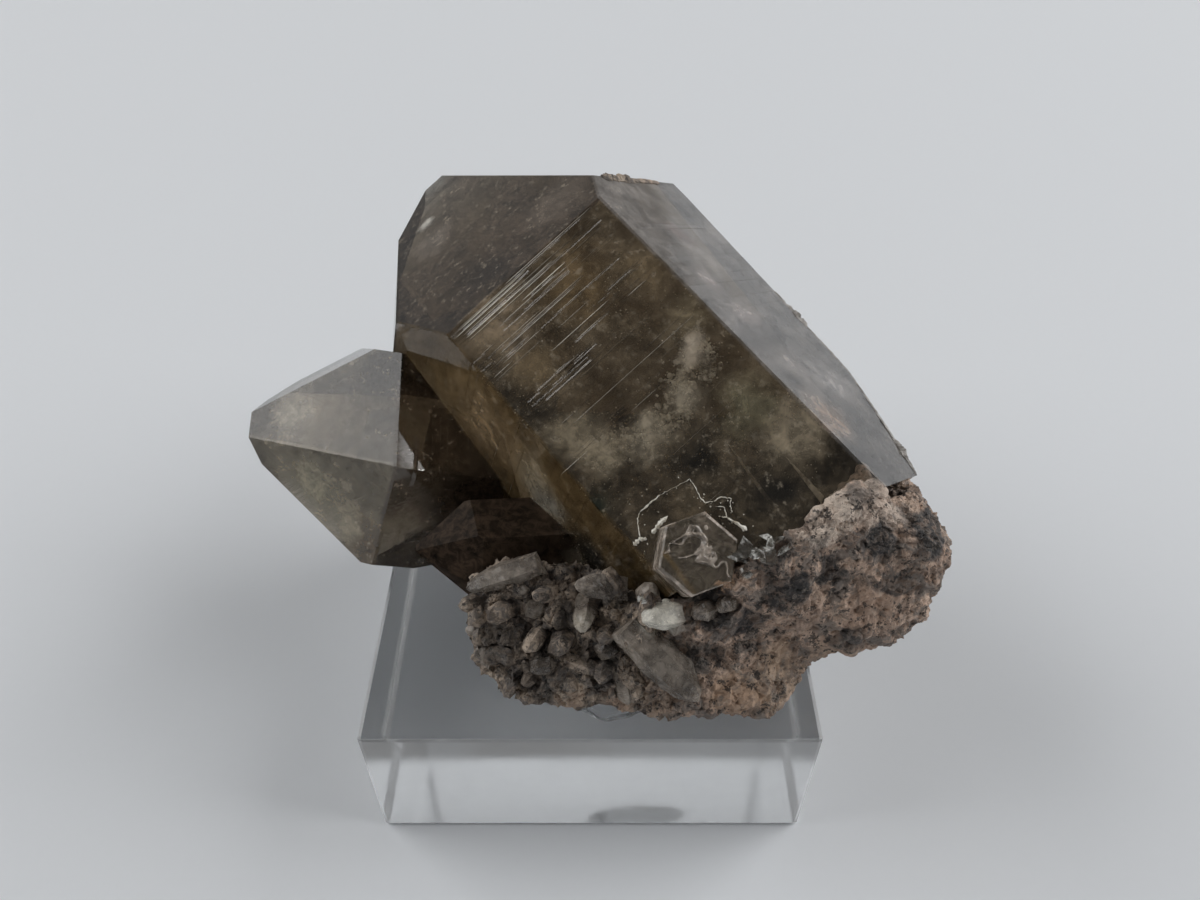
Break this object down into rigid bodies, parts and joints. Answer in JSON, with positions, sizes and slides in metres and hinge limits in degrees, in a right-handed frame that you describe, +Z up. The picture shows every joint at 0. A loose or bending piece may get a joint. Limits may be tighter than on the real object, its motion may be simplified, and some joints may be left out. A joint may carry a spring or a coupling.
{
  "type": "smoky quartz specimen on block stand",
  "caption": "Smoky quartz crystals grown together on a lump of feldspar rock, held by clear gel on a square clear acrylic block stand.",
  "frame": {"origin": "middle of the acrylic block's underside", "axes": "+Z up, -Y towards the front of the block, +X to the right seen from the front"},
  "size_m": [0.0825, 0.0712, 0.0611],
  "materials": {
    "clear_acrylic": "polished clear acrylic",
    "clear_gel": "soft clear mounting gel",
    "smoky_quartz": "glassy smoky brown quartz, see-through, with fine cross striations",
    "feldspar_rock": "rough granular feldspar with dark specks"
  },
  "bodies": {
    "root": {"acrylic_block": "clear_acrylic", "gel_pad_front": "clear_gel", "gel_pad_back": "clear_gel", "smoky_crystals": "smoky_quartz", "feldspar_matrix": "feldspar_rock"}
  },
  "joints": []
}
